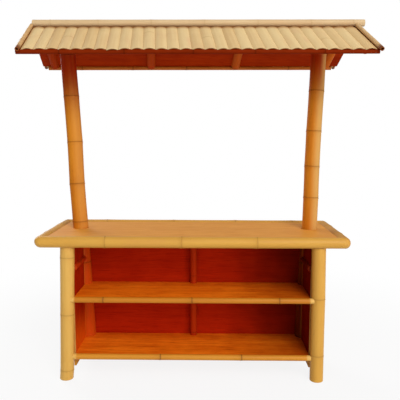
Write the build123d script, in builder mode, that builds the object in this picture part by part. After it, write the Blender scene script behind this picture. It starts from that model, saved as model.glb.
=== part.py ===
"""Bamboo tiki bar: open-shelf counter on bamboo legs under a gabled roof of split-bamboo tiles."""
import os
from math import atan, cos, radians, sin, sqrt, tan

from build123d import *

os.makedirs("parts", exist_ok=True)

# Fits between neighbouring pieces
SEAT = 0.3
TILE_GAP = 0.5

# Counter
COUNTER_LENGTH = 1830.0
COUNTER_DEPTH = 676.0
COUNTER_HEIGHT = 864.0
COUNTER_CORNER_RADIUS = 45.0
EDGE_POLE_DIAMETER = 68.0
TOP_BOARD_INSET = 9.0
TOP_BOARD_THICKNESS = 18.0
BEARER_DIAMETER = 30.0

# Legs and posts, each with its own place off the leg line and outward lean, left -1 and right 1
END_OVERHANG = 186.0
POST_DIAMETER = 92.0
POST_Y = 30.0
POST_OFFSETS = {-1: -8.0, 1: 4.0}
POST_LEAN_SHARES = {-1: 0.046, 1: 0.033}
LEG_DIAMETER = 80.0
LEG_OFFSETS = {-1: 0.0, 1: 9.0}
LEG_LEAN_SHARES = {-1: -0.023, 1: -0.002}
LEG_RAKE_SHARE = 0.034

# Open shelves and closed walls
UPPER_SHELF_HEIGHT = 494.0
LOWER_SHELF_HEIGHT = 146.0
SHELF_THICKNESS = 16.0
SHELF_POLE_DIAMETER = 34.0
SHELF_POLE_RISE = 6.0
CLEAT_SIZE = 26.0
WALL_THICKNESS = 12.0
WALL_FOOT_HEIGHT = 65.0
SIDE_WALL_INSET_SHARE = 0.8
BACK_WALL_SETBACK = 25.0
BACK_WALL_END_SHARE = 0.58
SIDE_RAIL_DIAMETER = 36.0
SIDE_RAIL_SHARE = 0.5
UPRIGHT_DIAMETER = 40.0
SLAT_WIDTH = 90.0
SLAT_RISE = 20.0

# Roof
RIDGE_TOP = 2141.0
ROOF_END_OVERHANG = 76.0
ROOF_RUN = 377.0
ROOF_PITCH_DEG = 28.0
ROOF_RACK = 38.0
ROOF_BOARD_THICKNESS = 6.0
ROOF_BOARD_SETBACK = 4.0
RIDGE_POLE_DIAMETER = 46.0
RIDGE_POLE_INSET = 16.0
RIDGE_POLE_OVERHANG = 38.0
RIDGE_BEAM_DIAMETER = 60.0
RIDGE_BEAM_INSET = 46.0
BARGE_DIAMETER = 24.0
BARGE_START = 15.0
BARGE_TAIL = 12.0
EAVE_POLE_DIAMETER = 24.0
EAVE_POLE_SETBACK = 18.0
EAVE_POLE_INSETS = {-1: 12.0, 1: 37.0}
RAFTER_DIAMETER = 56.0
RAFTER_END_INSET = 82.0
RAFTER_PLACE_SHARES = (-0.5, -0.142, 0.17, 0.5)
TILE_COUNT = 29
TILE_RISE = 17.0
TILE_START = 28.0

# Shape of a bamboo culm, as shares of its radius
CULM_TAPER_SHARE = 0.03
CULM_BORE_SHARE = 0.68
HOLLOW_DEPTH_SHARE = 1.8

# Where the nodes fall, as shares of each culm's length
LEFT_POST_NODE_SHARES = (0.45, 0.565, 0.689, 0.823)
RIGHT_POST_NODE_SHARES = (0.526, 0.619, 0.723, 0.839)
LEFT_LEG_NODE_SHARES = (0.109, 0.495, 0.886)
RIGHT_LEG_NODE_SHARES = (0.225, 0.622)
FRONT_EDGE_NODE_SHARES = (0.216, 0.467, 0.713)
BACK_EDGE_NODE_SHARES = (0.3, 0.7)
UPPER_SHELF_NODE_SHARES = (0.145, 0.5, 0.851)
LOWER_SHELF_NODE_SHARES = (0.372, 0.699)

# Derived positions
ROOF_LENGTH = COUNTER_LENGTH + 2 * ROOF_END_OVERHANG
LEG_X = COUNTER_LENGTH / 2 - END_OVERHANG
POST_RADIUS = POST_DIAMETER / 2
POST_REACH = POST_RADIUS * (1 + CULM_TAPER_SHARE) + SEAT
LEG_RADIUS = LEG_DIAMETER / 2
LEG_REACH = LEG_RADIUS * (1 + CULM_TAPER_SHARE) + SEAT
LEG_Y = -(COUNTER_DEPTH / 2 - LEG_RADIUS)
EDGE_RADIUS = EDGE_POLE_DIAMETER / 2
EDGE_REACH = EDGE_RADIUS * (1 + CULM_TAPER_SHARE) + SEAT
EDGE_X = COUNTER_LENGTH / 2 - EDGE_RADIUS
EDGE_Y = COUNTER_DEPTH / 2 - EDGE_RADIUS
EDGE_Z = COUNTER_HEIGHT - EDGE_RADIUS
COUNTER_REACH_X = EDGE_X + EDGE_REACH
COUNTER_REACH_Y = EDGE_Y + EDGE_REACH
TOP_BOARD_Z = COUNTER_HEIGHT - TOP_BOARD_INSET - TOP_BOARD_THICKNESS
BEARER_X = LEG_X + max(POST_OFFSETS.values()) + POST_REACH + BEARER_DIAMETER / 2
BEARER_Z = TOP_BOARD_Z - SEAT - BEARER_DIAMETER / 2
BEARER_LENGTH = 2 * (EDGE_Y - EDGE_REACH)
WALL_HEIGHT = TOP_BOARD_Z - SEAT - WALL_FOOT_HEIGHT
WALL_FRONT_Y = EDGE_REACH - EDGE_Y
INNER_SIDE_X = LEG_X - LEG_RADIUS * SIDE_WALL_INSET_SHARE
SIDE_WALL_X = INNER_SIDE_X + WALL_THICKNESS / 2
INNER_BACK_Y = POST_Y + BACK_WALL_SETBACK
BACK_WALL_Y = INNER_BACK_Y + WALL_THICKNESS / 2
BACK_WALL_LENGTH = 2 * (LEG_X - POST_RADIUS * BACK_WALL_END_SHARE)
SIDE_RAIL_Z = UPPER_SHELF_HEIGHT + (TOP_BOARD_Z - UPPER_SHELF_HEIGHT) * SIDE_RAIL_SHARE
UPRIGHT_REACH = UPRIGHT_DIAMETER / 2 + SEAT
UPRIGHT_Y = INNER_BACK_Y - UPRIGHT_REACH
SHELF_POLE_RADIUS = SHELF_POLE_DIAMETER / 2
SHELF_FRONT_Y = LEG_Y + SHELF_POLE_RADIUS * (1 + CULM_TAPER_SHARE) + SEAT
SHELF_LENGTH = 2 * (INNER_SIDE_X - SEAT)
SHELF_DEPTH = INNER_BACK_Y - SEAT - SHELF_FRONT_Y
SHELF_MIDDLE_Y = SHELF_FRONT_Y + SHELF_DEPTH / 2
CLEAT_LENGTH = POST_Y - LEG_Y - LEG_REACH - POST_REACH - 2 * SEAT
CLEAT_Y = (LEG_Y + LEG_REACH + POST_Y - POST_REACH) / 2

# Roof section, measured square to the ridge and down each slope
PITCH = radians(ROOF_PITCH_DEG)
SLOPE_LENGTH = ROOF_RUN / cos(PITCH)
SKEW = atan(ROOF_RACK / SLOPE_LENGTH)
RIDGE_RADIUS = RIDGE_POLE_DIAMETER / 2
RIDGE_AXIS_Z = RIDGE_TOP - RIDGE_RADIUS
RIDGE_START_X = RIDGE_POLE_INSET - ROOF_LENGTH / 2
RIDGE_LENGTH = ROOF_LENGTH / 2 + RIDGE_POLE_OVERHANG - RIDGE_START_X
RIDGE_HOLLOW_DEPTH = RIDGE_RADIUS * HOLLOW_DEPTH_SHARE
BOARD_EDGE_Y = ROOF_BOARD_SETBACK * cos(PITCH)
BOARD_EDGE_DROP = ROOF_BOARD_SETBACK * sin(PITCH)
RIDGE_REACH = RIDGE_RADIUS + SEAT
APEX_Z = RIDGE_AXIS_Z + BOARD_EDGE_DROP - sqrt(RIDGE_REACH**2 - BOARD_EDGE_Y**2)
BEAM_RADIUS = RIDGE_BEAM_DIAMETER / 2
BEAM_Z = APEX_Z - (ROOF_BOARD_THICKNESS + SEAT + BEAM_RADIUS) / cos(PITCH)
EAVE_REACH = EAVE_POLE_DIAMETER / 2 + SEAT
EAVE_POLE_S = SLOPE_LENGTH - EAVE_POLE_SETBACK
BOARD_END_S = EAVE_POLE_S - EAVE_REACH
RAFTER_SLANT = RAFTER_DIAMETER / 2 * tan(SKEW)
RAFTER_START_S = (ROOF_BOARD_THICKNESS + BEAM_RADIUS) * tan(PITCH) + BEAM_RADIUS + SEAT + RAFTER_SLANT
RAFTER_END_S = BOARD_END_S - RAFTER_SLANT
BARGE_REACH = BARGE_DIAMETER / 2 + SEAT
BARGE_X = ROOF_LENGTH / 2 - BARGE_REACH
TILE_PITCH = (2 * BARGE_X - 2 * BARGE_REACH) / TILE_COUNT
TILE_WIDTH = TILE_PITCH * cos(SKEW) - TILE_GAP
TILE_RADIUS = (TILE_WIDTH**2 / 4 + TILE_RISE**2) / (2 * TILE_RISE)
RAFTER_SPAN = ROOF_LENGTH - 2 * RAFTER_END_INSET
POST_TOP = BEAM_Z - BEAM_RADIUS / 2
SLAT_RADIUS = (SLAT_WIDTH**2 / 4 + SLAT_RISE**2) / (2 * SLAT_RISE)


def culm_profile(length, radius, node_shares, taper_share):
    """Half section of a bamboo culm, which steps in by an even share at each node."""
    nodes = len(node_shares)
    radii = [radius * (1 + taper_share * (1 - 2 * index / nodes)) for index in range(nodes + 1)]
    points = [(0, 0), (radii[0], 0)]
    for index, share in enumerate(node_shares):
        points += [(radii[index], length * share), (radii[index + 1], length * share)]
    return points + [(radii[nodes], length), (0, length)]


def culm_plane(start, along, across):
    """Plane whose x runs across a culm and whose y runs along it."""
    return Plane(origin=start, x_dir=across, z_dir=Vector(*across).cross(Vector(*along)))


def post_axis(side, height):
    """Point of a leaning post's axis at a height above the floor."""
    out = LEG_X + POST_OFFSETS[side] + POST_LEAN_SHARES[side] * (height - COUNTER_HEIGHT)
    return Vector(side * out, POST_Y, height)


def leg_axis(side, height):
    """Point of a front leg's axis at a height above the floor: it leans outward and rakes back."""
    out = LEG_X + LEG_OFFSETS[side] + LEG_LEAN_SHARES[side] * (height - COUNTER_HEIGHT)
    return Vector(side * out, LEG_Y + LEG_RAKE_SHARE * height, height)


def upright_plane(axis, side):
    """Plane square to a leaning leg or post, level with the floor at its axis."""
    return Plane(origin=axis(side, 0), z_dir=axis(side, COUNTER_HEIGHT) - axis(side, 0))


def on_slope(side, along, down, up):
    """Point on a roof slope: along the ridge, down the slope from the apex, up off the boards."""
    return Vector(
        along - side * ROOF_RACK * down / SLOPE_LENGTH,
        side * (down * cos(PITCH) + up * sin(PITCH)),
        APEX_Z - down * sin(PITCH) + up * cos(PITCH),
    )


def down_slope(side):
    """Direction the tiles, barge poles and rafters run, from ridge to eave."""
    return (on_slope(side, 0, SLOPE_LENGTH, 0) - on_slope(side, 0, 0, 0)).normalized()


def off_slope(side):
    """Direction square off a roof slope."""
    return Vector(0, side * sin(PITCH), cos(PITCH))


def slope_plane(side, start):
    """Plane square to the tiles, y off the slope and z down it."""
    return Plane(origin=start, x_dir=off_slope(side).cross(down_slope(side)), z_dir=down_slope(side))


def save(piece, name):
    """Label a finished piece and write its file."""
    piece.part.label = name
    export_step(piece.part, f"parts/{name}.step")


# Front legs, trimmed level at the floor and coped at the top to the counter's front pole
for name, side, nodes in (("left", -1, LEFT_LEG_NODE_SHARES), ("right", 1, RIGHT_LEG_NODE_SHARES)):
    start = leg_axis(side, -LEG_RADIUS)
    reach = leg_axis(side, EDGE_Z) - start
    with BuildPart() as front_leg:
        across = upright_plane(leg_axis, side).x_dir
        with BuildSketch(culm_plane(start, tuple(reach.normalized()), tuple(across))):
            with BuildLine():
                Polyline(*culm_profile(reach.length, LEG_RADIUS, nodes, -CULM_TAPER_SHARE), close=True)
            make_face()
        revolve(axis=Axis(start, reach))
        split(bisect_by=Plane.XY, keep=Keep.TOP)
        with BuildSketch(Plane.YZ.offset(leg_axis(side, EDGE_Z).X)):
            with Locations((-EDGE_Y, EDGE_Z)):
                Circle(EDGE_REACH)
        extrude(amount=LEG_DIAMETER, both=True, mode=Mode.SUBTRACT)
    save(front_leg, f"{name}_front_leg")

# Tall posts, trimmed level at the floor and saddled at the top for the ridge beam
for name, side, nodes in (("left", -1, LEFT_POST_NODE_SHARES), ("right", 1, RIGHT_POST_NODE_SHARES)):
    start = post_axis(side, -POST_RADIUS)
    reach = post_axis(side, POST_TOP) - start
    with BuildPart() as post:
        with BuildSketch(culm_plane(start, tuple(reach.normalized()), (0, 1, 0))):
            with BuildLine():
                Polyline(*culm_profile(reach.length, POST_RADIUS, nodes, CULM_TAPER_SHARE), close=True)
            make_face()
        revolve(axis=Axis(start, reach))
        split(bisect_by=Plane.XY, keep=Keep.TOP)
        with BuildSketch(Plane.YZ.offset(post_axis(side, POST_TOP).X)):
            with Locations((0, BEAM_Z)):
                Circle(BEAM_RADIUS + SEAT)
        extrude(amount=POST_DIAMETER, both=True, mode=Mode.SUBTRACT)
    save(post, f"{name}_post")

# Counter edge poles, mitred and rounded at the corners
for name, side, nodes in (("front", -1, FRONT_EDGE_NODE_SHARES), ("back", 1, BACK_EDGE_NODE_SHARES)):
    start = (-COUNTER_LENGTH / 2, side * EDGE_Y, EDGE_Z)
    with BuildPart() as edge_pole:
        with BuildSketch(culm_plane(start, (1, 0, 0), (0, 0, 1))):
            with BuildLine():
                Polyline(*culm_profile(COUNTER_LENGTH, EDGE_RADIUS, nodes, CULM_TAPER_SHARE), close=True)
            make_face()
        revolve(axis=Axis(start, (1, 0, 0)))
        for end in (-1, 1):
            corner = (end * (EDGE_X - SEAT), side * EDGE_Y, EDGE_Z)
            split(bisect_by=Plane(origin=corner, z_dir=(-end, side, 0)), keep=Keep.TOP)
        with BuildSketch(Plane.XY.offset(EDGE_Z)):
            RectangleRounded(2 * COUNTER_REACH_X, 2 * COUNTER_REACH_Y, COUNTER_CORNER_RADIUS)
        extrude(amount=EDGE_POLE_DIAMETER, both=True, mode=Mode.INTERSECT)
    save(edge_pole, f"counter_{name}_pole")
for name, side in (("left", -1), ("right", 1)):
    with BuildPart() as edge_pole:
        with BuildSketch(Plane.XZ):
            with Locations((side * EDGE_X, EDGE_Z)):
                Circle(EDGE_RADIUS)
        extrude(amount=COUNTER_DEPTH / 2, both=True)
        for end in (-1, 1):
            corner = (side * EDGE_X, end * EDGE_Y, EDGE_Z)
            split(bisect_by=Plane(origin=corner, z_dir=(side, -end, 0)), keep=Keep.TOP)
        with BuildSketch(Plane.XY.offset(EDGE_Z)):
            RectangleRounded(2 * COUNTER_REACH_X, 2 * COUNTER_REACH_Y, COUNTER_CORNER_RADIUS)
        extrude(amount=EDGE_POLE_DIAMETER, both=True, mode=Mode.INTERSECT)
    save(edge_pole, f"counter_{name}_pole")

# Counter top board, bored for the posts
with BuildPart() as counter_board:
    with BuildSketch(Plane.XY.offset(TOP_BOARD_Z)):
        Rectangle(2 * (EDGE_X - EDGE_REACH), 2 * (EDGE_Y - EDGE_REACH))
    extrude(amount=TOP_BOARD_THICKNESS)
    for side in (-1, 1):
        with BuildSketch(upright_plane(post_axis, side)):
            Circle(POST_REACH)
        extrude(amount=BEAM_Z, mode=Mode.SUBTRACT)
save(counter_board, "counter_top_board")

# Bearers under the counter, beside the posts
for name, side in (("left", -1), ("right", 1)):
    with BuildPart() as bearer:
        with BuildSketch(Plane.XZ):
            with Locations((side * BEARER_X, BEARER_Z)):
                Circle(BEARER_DIAMETER / 2)
        extrude(amount=BEARER_LENGTH / 2, both=True)
    save(bearer, f"{name}_counter_bearer")

# Side walls, scribed to the legs and posts
for name, side in (("left", -1), ("right", 1)):
    with BuildPart() as side_wall:
        with BuildSketch(Plane.XY.offset(WALL_FOOT_HEIGHT)):
            with Locations((side * SIDE_WALL_X, (WALL_FRONT_Y + POST_Y) / 2)):
                Rectangle(WALL_THICKNESS, POST_Y - WALL_FRONT_Y)
        extrude(amount=WALL_HEIGHT)
        for axis, reach in ((leg_axis, LEG_REACH), (post_axis, POST_REACH)):
            with BuildSketch(upright_plane(axis, side)):
                Circle(reach)
            extrude(amount=BEAM_Z, mode=Mode.SUBTRACT)
    save(side_wall, f"{name}_side_wall")

# Half-round rails along the inside of the side walls
for name, side in (("left", -1), ("right", 1)):
    start = (side * INNER_SIDE_X, CLEAT_Y - CLEAT_LENGTH / 2, SIDE_RAIL_Z)
    with BuildPart() as side_rail:
        with BuildSketch(Plane(origin=start, x_dir=(0, 0, 1), z_dir=(0, 1, 0))):
            Circle(SIDE_RAIL_DIAMETER / 2)
            with Locations((0, side * SIDE_RAIL_DIAMETER / 2)):
                Rectangle(SIDE_RAIL_DIAMETER, SIDE_RAIL_DIAMETER, mode=Mode.SUBTRACT)
        extrude(amount=CLEAT_LENGTH)
    save(side_rail, f"{name}_side_rail")

# Back wall between the posts, half-round slats outside it, an upright inside
with BuildPart() as back_wall:
    with BuildSketch(Plane.XY.offset(WALL_FOOT_HEIGHT)):
        with Locations((0, BACK_WALL_Y)):
            Rectangle(BACK_WALL_LENGTH, WALL_THICKNESS)
    extrude(amount=WALL_HEIGHT)
    for side in (-1, 1):
        with BuildSketch(upright_plane(post_axis, side)):
            Circle(POST_REACH)
        extrude(amount=BEAM_Z, mode=Mode.SUBTRACT)
save(back_wall, "back_wall")

with BuildPart() as back_slats:
    slats_left = post_axis(-1, WALL_FOOT_HEIGHT).X + POST_REACH
    slats_right = post_axis(1, WALL_FOOT_HEIGHT).X - POST_REACH
    slat_count = int((slats_right - slats_left) / (SLAT_WIDTH + TILE_GAP))
    for index in range(slat_count):
        slat_x = (slats_left + slats_right) / 2 + (index - (slat_count - 1) / 2) * (SLAT_WIDTH + TILE_GAP)
        start = (slat_x, BACK_WALL_Y + WALL_THICKNESS / 2, WALL_FOOT_HEIGHT)
        with BuildSketch(Plane(origin=start, x_dir=(1, 0, 0), z_dir=(0, 0, 1))):
            with Locations((0, SLAT_RISE - SLAT_RADIUS)):
                Circle(SLAT_RADIUS)
            with Locations((0, SLAT_RADIUS)):
                Rectangle(2 * SLAT_RADIUS, 2 * SLAT_RADIUS, mode=Mode.INTERSECT)
        extrude(amount=WALL_HEIGHT)
save(back_slats, "back_wall_slats")

with BuildPart() as centre_upright:
    with BuildSketch(Plane.XY.offset(WALL_FOOT_HEIGHT)):
        with Locations((0, UPRIGHT_Y)):
            Circle(UPRIGHT_DIAMETER / 2)
    extrude(amount=WALL_HEIGHT)
save(centre_upright, "centre_upright")

# Shelves: board notched round legs, posts and upright, bamboo front edge, cleats at both ends
for name, height, nodes in (
    ("upper", UPPER_SHELF_HEIGHT, UPPER_SHELF_NODE_SHARES),
    ("lower", LOWER_SHELF_HEIGHT, LOWER_SHELF_NODE_SHARES),
):
    with BuildPart() as shelf_board:
        with BuildSketch(Plane.XY.offset(height - SHELF_THICKNESS)):
            with Locations((0, SHELF_MIDDLE_Y)):
                Rectangle(SHELF_LENGTH, SHELF_DEPTH)
            with Locations((0, UPRIGHT_Y)):
                Circle(UPRIGHT_REACH, mode=Mode.SUBTRACT)
            with Locations((0, UPRIGHT_Y + UPRIGHT_REACH / 2)):
                Rectangle(2 * UPRIGHT_REACH, UPRIGHT_REACH, mode=Mode.SUBTRACT)
        extrude(amount=SHELF_THICKNESS)
        for side in (-1, 1):
            for axis, reach in ((leg_axis, LEG_REACH), (post_axis, POST_REACH)):
                with BuildSketch(upright_plane(axis, side)):
                    Circle(reach)
                extrude(amount=BEAM_Z, mode=Mode.SUBTRACT)
    save(shelf_board, f"{name}_shelf_board")

    pole_z = height + SHELF_POLE_RISE - SHELF_POLE_RADIUS
    start = Vector(leg_axis(-1, pole_z).X, LEG_Y, pole_z)
    reach = Vector(leg_axis(1, pole_z).X, LEG_Y, pole_z) - start
    with BuildPart() as shelf_pole:
        with BuildSketch(culm_plane(start, (1, 0, 0), (0, 0, 1))):
            with BuildLine():
                Polyline(*culm_profile(reach.length, SHELF_POLE_RADIUS, nodes, CULM_TAPER_SHARE), close=True)
            make_face()
        revolve(axis=Axis(start, reach))
        for side in (-1, 1):
            with BuildSketch(upright_plane(leg_axis, side)):
                Circle(LEG_REACH)
            extrude(amount=BEAM_Z, mode=Mode.SUBTRACT)
    save(shelf_pole, f"{name}_shelf_front_pole")

    with BuildPart() as cleats:
        with BuildSketch(Plane.XY.offset(height - SHELF_THICKNESS - CLEAT_SIZE)):
            cleat_x = SHELF_LENGTH / 2 - CLEAT_SIZE / 2
            with Locations((-cleat_x, CLEAT_Y), (cleat_x, CLEAT_Y)):
                Rectangle(CLEAT_SIZE, CLEAT_LENGTH)
        extrude(amount=CLEAT_SIZE)
    save(cleats, f"{name}_shelf_cleats")

# Ridge pole over the tiles' upper ends, open at both ends, and the ridge beam on the posts
with BuildPart() as ridge_pole:
    with BuildSketch(Plane.YZ.offset(RIDGE_START_X)):
        with Locations((0, RIDGE_AXIS_Z)):
            Circle(RIDGE_RADIUS)
    extrude(amount=RIDGE_LENGTH)
    for hollow_x in (0, RIDGE_LENGTH - RIDGE_HOLLOW_DEPTH):
        with BuildSketch(Plane.YZ.offset(RIDGE_START_X + hollow_x)):
            with Locations((0, RIDGE_AXIS_Z)):
                Circle(RIDGE_RADIUS * CULM_BORE_SHARE)
        extrude(amount=RIDGE_HOLLOW_DEPTH, mode=Mode.SUBTRACT)
save(ridge_pole, "ridge_pole")

with BuildPart() as ridge_beam:
    with BuildSketch(Plane.YZ):
        with Locations((0, BEAM_Z)):
            Circle(BEAM_RADIUS)
    extrude(amount=ROOF_LENGTH / 2 - RIDGE_BEAM_INSET, both=True)
save(ridge_beam, "ridge_beam")

# Roof slopes
for name, side in (("front", -1), ("back", 1)):
    with BuildPart() as roof_boards:
        corners = [
            on_slope(side, -ROOF_LENGTH / 2, ROOF_BOARD_SETBACK, 0),
            on_slope(side, ROOF_LENGTH / 2, ROOF_BOARD_SETBACK, 0),
            on_slope(side, ROOF_LENGTH / 2, BOARD_END_S, 0),
            on_slope(side, -ROOF_LENGTH / 2, BOARD_END_S, 0),
        ]
        slope = Plane(origin=corners[0], x_dir=(1, 0, 0), z_dir=off_slope(side))
        with BuildSketch(slope):
            with BuildLine():
                Polyline(*[slope.to_local_coords(corner) for corner in corners], close=True)
            make_face()
        extrude(amount=-ROOF_BOARD_THICKNESS)
    save(roof_boards, f"{name}_roof_boards")

    with BuildPart() as tiles:
        for index in range(TILE_COUNT):
            tile_x = (index - (TILE_COUNT - 1) / 2) * TILE_PITCH
            with BuildSketch(slope_plane(side, on_slope(side, tile_x, TILE_START, 0))):
                with Locations((0, TILE_RISE - TILE_RADIUS)):
                    Circle(TILE_RADIUS)
                with Locations((0, TILE_RADIUS)):
                    Rectangle(2 * TILE_RADIUS, 2 * TILE_RADIUS, mode=Mode.INTERSECT)
            extrude(amount=(SLOPE_LENGTH - TILE_START) / cos(SKEW))
    save(tiles, f"{name}_roof_tiles")

    with BuildPart() as eave_pole:
        axis_point = on_slope(side, 0, EAVE_POLE_S, -EAVE_REACH)
        with BuildSketch(Plane.YZ.offset(axis_point.X)):
            with Locations((axis_point.Y, axis_point.Z)):
                Circle(EAVE_POLE_DIAMETER / 2)
        extrude(amount=ROOF_LENGTH / 2 - EAVE_POLE_INSETS[side], both=True)
    save(eave_pole, f"{name}_eave_pole")

    with BuildPart() as rafters:
        for share in RAFTER_PLACE_SHARES:
            start = on_slope(side, share * RAFTER_SPAN, RAFTER_START_S, -ROOF_BOARD_THICKNESS)
            with BuildSketch(slope_plane(side, start)):
                Circle(RAFTER_DIAMETER / 2)
                with Locations((0, -RAFTER_DIAMETER / 2)):
                    Rectangle(RAFTER_DIAMETER, RAFTER_DIAMETER, mode=Mode.INTERSECT)
            extrude(amount=(RAFTER_END_S - RAFTER_START_S) / cos(SKEW))
    save(rafters, f"{name}_rafters")

    for end_name, end in (("left", -1), ("right", 1)):
        with BuildPart() as barge_pole:
            with BuildSketch(slope_plane(side, on_slope(side, end * BARGE_X, BARGE_START, BARGE_REACH))):
                Circle(BARGE_DIAMETER / 2)
            extrude(amount=(SLOPE_LENGTH + BARGE_TAIL - BARGE_START) / cos(SKEW))
        save(barge_pole, f"{name}_{end_name}_barge_pole")
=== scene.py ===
"""Looks of the bamboo tiki bar: fine bamboo culms, split-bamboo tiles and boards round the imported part."""

import logging
import math
from dataclasses import dataclass, field
from enum import Enum, IntEnum
from functools import cache
from typing import Any, Callable, Sequence

import bpy
import numpy as np
from mathutils import Matrix, Vector


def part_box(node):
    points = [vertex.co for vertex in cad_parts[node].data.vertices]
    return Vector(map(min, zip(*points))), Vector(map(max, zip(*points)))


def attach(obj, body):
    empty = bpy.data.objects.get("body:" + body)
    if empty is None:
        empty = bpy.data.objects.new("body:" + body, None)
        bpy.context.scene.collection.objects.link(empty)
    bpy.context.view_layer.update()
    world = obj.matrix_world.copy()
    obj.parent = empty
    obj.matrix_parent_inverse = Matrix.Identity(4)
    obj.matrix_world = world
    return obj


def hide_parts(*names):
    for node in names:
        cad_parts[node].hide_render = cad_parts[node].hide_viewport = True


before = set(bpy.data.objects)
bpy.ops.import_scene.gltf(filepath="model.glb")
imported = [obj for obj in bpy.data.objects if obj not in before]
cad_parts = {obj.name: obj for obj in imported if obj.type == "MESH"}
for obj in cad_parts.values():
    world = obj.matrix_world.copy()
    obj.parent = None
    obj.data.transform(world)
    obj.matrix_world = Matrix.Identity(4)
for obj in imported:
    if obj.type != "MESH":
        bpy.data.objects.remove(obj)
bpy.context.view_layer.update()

LOG = logging.getLogger("tiki_bar")
BODY = "root"
SHARP_ANGLE = math.radians(38)
BAR_MIDDLE = (0, -0.1, 1)
WHITE = (1, 1, 1, 1)
FLOOR_GREY = (0.75, 0.75, 0.75, 1)

Array = np.ndarray
Point = Sequence[float]
Trim = Callable[[Array, Array], Array]
Warp = Callable[[Array], Array]
Socket = bpy.types.NodeSocket
Shade = Socket | str


def rgb(code: str) -> tuple[float, float, float, float]:
    """Linear colour of a six-digit hex code.

    Args:
        code: Red, green and blue as two hex digits each.

    Returns:
        Linear red, green, blue and an alpha of one.
    """
    parts = np.array([int(code[i:i + 2], 16) for i in (0, 2, 4)]) / 255
    linear = np.where(parts <= 0.04045, parts / 12.92, ((parts + 0.055) / 1.055) ** 2.4)
    return (*map(float, linear), 1.0)


class Named(Enum):
    """A place on the bar, whose name goes into the names of the pieces there."""

    @property
    def word(self) -> str:
        """The name in lower case."""
        return self.name.lower()


class Side(Named):
    """Ends of the bar along X."""

    LEFT = -1
    RIGHT = 1


class Face(Named):
    """Long sides of the bar along Y: the open shelves are at the front."""

    FRONT = -1
    BACK = 1


class Shelf(Named):
    """The two shelves."""

    UPPER = 0
    LOWER = 1


class Slot(Enum):
    """Material slots of the record."""

    ROOF = "roof_bamboo"
    WALL_SLATS = "wall_bamboo"
    TRIM = "trim_bamboo"
    SHADED = "shaded_bamboo"
    WALL = "wall_wood"
    FRAME = "frame_bamboo"


class Seed(IntEnum):
    """First random seed of each kind of piece; repeats of a piece count on from it."""

    SLAT_ROW = 7
    LEG = 11
    POST = 21
    LONG_POLE = 31
    END_POLE = 41
    BEARER = 47
    SHELF_POLE = 51
    RAIL = 61
    UPRIGHT = 65
    RIDGE = 81
    BEAM = 83
    EAVE = 91
    TILE_ROW = 100
    RAFTER = 120
    BARGE = 140
    SLAT = 700
    TILE = 1000


class Num:
    """A number in a node tree; its operators add Math nodes."""

    def __init__(self, tree: "Tree", socket: Socket) -> None:
        """Keep the tree and the socket that gives the number."""
        self.tree = tree
        self.socket = socket

    def _math(self, operation: str, *values: "Num | float") -> "Num":
        """Result of one Math node on the values in order."""
        return self.tree.number("ShaderNodeMath", {"operation": operation}, dict(enumerate(values)))

    def __add__(self, other: "Num | float") -> "Num":
        """Sum."""
        return self._math("ADD", self, other)

    __radd__ = __add__

    def __sub__(self, other: "Num | float") -> "Num":
        """Difference."""
        return self._math("SUBTRACT", self, other)

    def __rsub__(self, other: float) -> "Num":
        """Difference from a plain number."""
        return self._math("SUBTRACT", other, self)

    def __mul__(self, other: "Num | float") -> "Num":
        """Product."""
        return self._math("MULTIPLY", self, other)

    __rmul__ = __mul__

    def step(self, low: float, high: float) -> "Num":
        """Smooth step from 0 at low to 1 at high."""
        inputs = {"Value": self, "From Min": low, "From Max": high}
        return self.tree.number("ShaderNodeMapRange", {"interpolation_type": "SMOOTHSTEP"}, inputs, "Result")


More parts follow.
